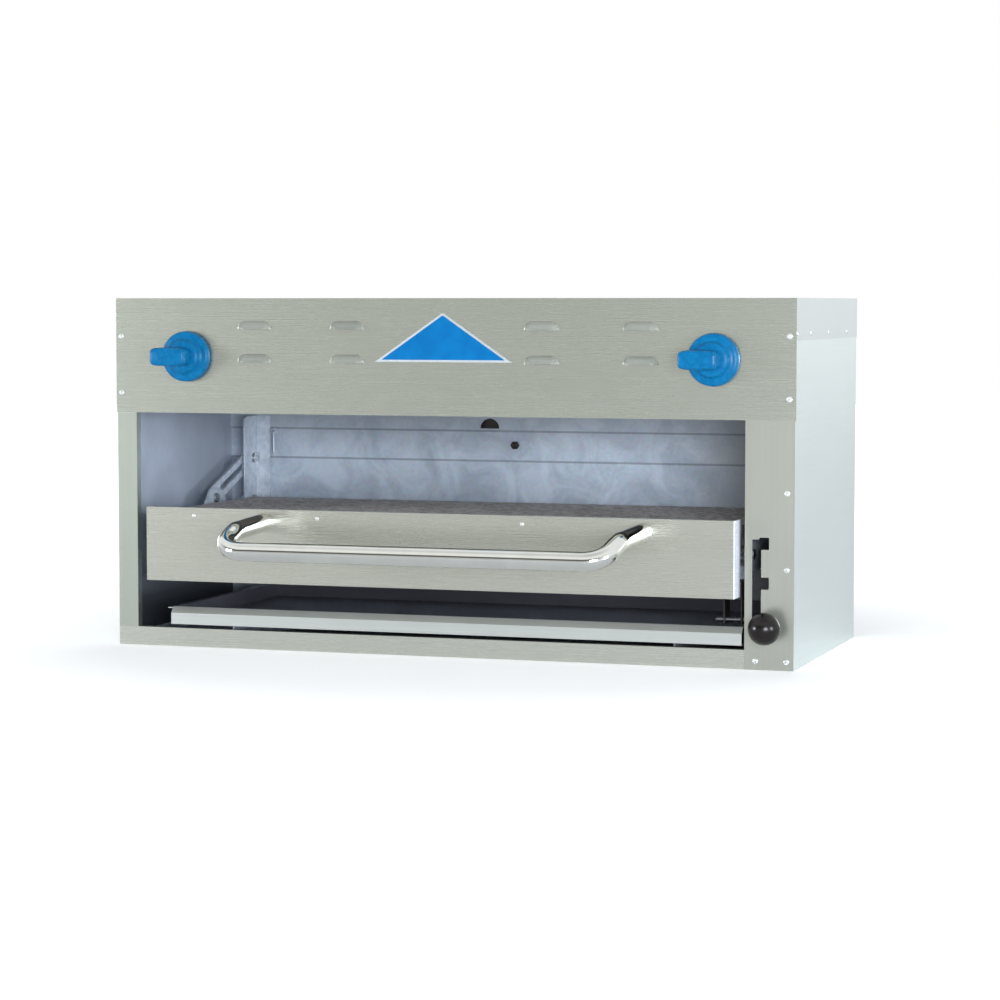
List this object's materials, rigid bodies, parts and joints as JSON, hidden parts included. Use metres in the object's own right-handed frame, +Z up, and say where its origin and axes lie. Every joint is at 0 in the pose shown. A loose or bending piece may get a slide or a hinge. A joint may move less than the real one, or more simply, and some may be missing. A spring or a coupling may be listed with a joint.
{
  "type": "gas cheese melter",
  "caption": "Wide low open-front gas broiler with a sliding rack on a lifting carriage, notched height slot, bow handle, two knobs and a drip tray.",
  "frame": {"origin": "middle of the casing's flat underside", "axes": "+Z up, the open front and its controls face -Y, +X along the width to the notched stile"},
  "size_m": [0.918, 0.54, 0.458],
  "materials": {
    "stainless_front": "brushed",
    "stainless_side": "brushed",
    "tray_steel": "satin",
    "aluminised_steel": "satin",
    "zinc_steel": "satin",
    "rack_steel": "satin",
    "roller_steel": "satin",
    "chrome": "polished",
    "blue_plastic": "satin",
    "blue_enamel": "gloss",
    "dark_phenolic": "gloss",
    "burner_steel": "satin",
    "tile_ceramic": "matte",
    "black_pipe": "satin",
    "valve_brass": "satin"
  },
  "bodies": {
    "casing": {"control_panel": "stainless_front", "left_stile": "stainless_front", "right_stile": "stainless_front", "bottom_rail": "stainless_front", "left_side_panel": "stainless_side", "right_side_panel": "stainless_side", "top_cover": "stainless_side", "back_panel": "stainless_side", "back_liner": "aluminised_steel", "base_pan": "aluminised_steel", "burner_deck": "aluminised_steel", "heat_shield": "aluminised_steel", "tray_guides": "aluminised_steel", "arm_bracket_left": "aluminised_steel", "arm_bracket_right": "aluminised_steel", "bracket_pins": "zinc_steel", "liner_clip": "zinc_steel", "tile_clips": "zinc_steel", "front_screws": "zinc_steel", "side_screws": "zinc_steel", "liner_bolt": "zinc_steel", "badge": "blue_enamel", "burner_body_left": "burner_steel", "burner_body_right": "burner_steel", "venturi_left": "burner_steel", "venturi_right": "burner_steel", "burner_tiles": "tile_ceramic", "gas_manifold": "black_pipe", "valve_bodies": "valve_brass", "pilot_burner": "valve_brass", "pilot_tube": "valve_brass"},
    "knob_turn_left": {"valve_stem_left": "zinc_steel", "knob_left": "blue_plastic"},
    "knob_turn_right": {"valve_stem_right": "zinc_steel", "knob_right": "blue_plastic"},
    "upper_arms": {"upper_arm_left": "zinc_steel", "upper_arm_right": "zinc_steel"},
    "lower_arms": {"lower_arm_left": "zinc_steel", "lower_arm_right": "zinc_steel"},
    "carriage": {"carriage_rail_left": "zinc_steel", "carriage_rail_right": "zinc_steel", "carriage_cross_bars": "zinc_steel", "carriage_pins": "zinc_steel", "roller_axles": "zinc_steel", "latch_bracket": "zinc_steel"},
    "front_rollers": {"track_rollers": "roller_steel"},
    "rack": {"rack_frame": "rack_steel", "rack_grid": "rack_steel", "rack_front_panel": "stainless_front", "panel_rivets": "zinc_steel", "handle": "chrome", "handle_bolts": "zinc_steel", "rack_axles": "zinc_steel"},
    "rear_rollers": {"rack_rollers": "roller_steel"},
    "latch": {"latch_rod": "zinc_steel", "ball_knob": "dark_phenolic"},
    "tray": {"drip_tray": "tray_steel"}
  },
  "joints": [
    {"name": "left_knob_turn", "type": "hinge", "parent": "casing", "child": "knob_turn_left", "pos_m": [-0.3542, -0.2, 0.382], "axis": [0, -1, 0], "range_deg": [0, 90]},
    {"name": "right_knob_turn", "type": "hinge", "parent": "casing", "child": "knob_turn_right", "pos_m": [0.3542, -0.2, 0.382], "axis": [0, -1, 0], "range_deg": [0, 90]},
    {"name": "rack_lift", "type": "hinge", "parent": "casing", "child": "upper_arms", "pos_m": [-0.0102, 0.165, 0.23], "axis": [-1, 0, 0], "range_deg": [0, 40]},
    {"name": "lower_arm_swing", "type": "hinge", "parent": "casing", "child": "lower_arms", "pos_m": [-0.0102, 0.165, 0.17], "axis": [-1, 0, 0], "range_deg": [0, 40]},
    {"name": "carriage_level", "type": "hinge", "parent": "upper_arms", "child": "carriage", "pos_m": [-0.0102, 0.02968, 0.18075], "axis": [-1, 0, 0], "range_deg": [-40, 0]},
    {"name": "rack_slide", "type": "slide", "parent": "carriage", "child": "rack", "axis": [0, -1, 0], "range_m": [0, 0.23]},
    {"name": "front_roller_spin", "type": "hinge", "parent": "carriage", "child": "front_rollers", "pos_m": [-0.0102, -0.152, 0.1397], "axis": [1, 0, 0], "range_deg": [0, 1320]},
    {"name": "rear_roller_spin", "type": "hinge", "parent": "rack", "child": "rear_rollers", "pos_m": [-0.0102, 0.112, 0.1583], "axis": [1, 0, 0], "range_deg": [0, 1200]},
    {"name": "latch_slide", "type": "slide", "parent": "carriage", "child": "latch", "axis": [1, 0, 0], "range_m": [0, 0.01]},
    {"name": "tray_slide", "type": "slide", "parent": "casing", "child": "tray", "axis": [0, -1, 0], "range_m": [0, 0.3]}
  ],
  "couplings": [
    {"joint": "lower_arm_swing", "follows": "rack_lift", "ratio": 1},
    {"joint": "carriage_level", "follows": "rack_lift", "ratio": -1},
    {"joint": "front_roller_spin", "follows": "rack_slide", "rad_per_m": 100},
    {"joint": "rear_roller_spin", "follows": "rack_slide", "rad_per_m": 90.909}
  ]
}
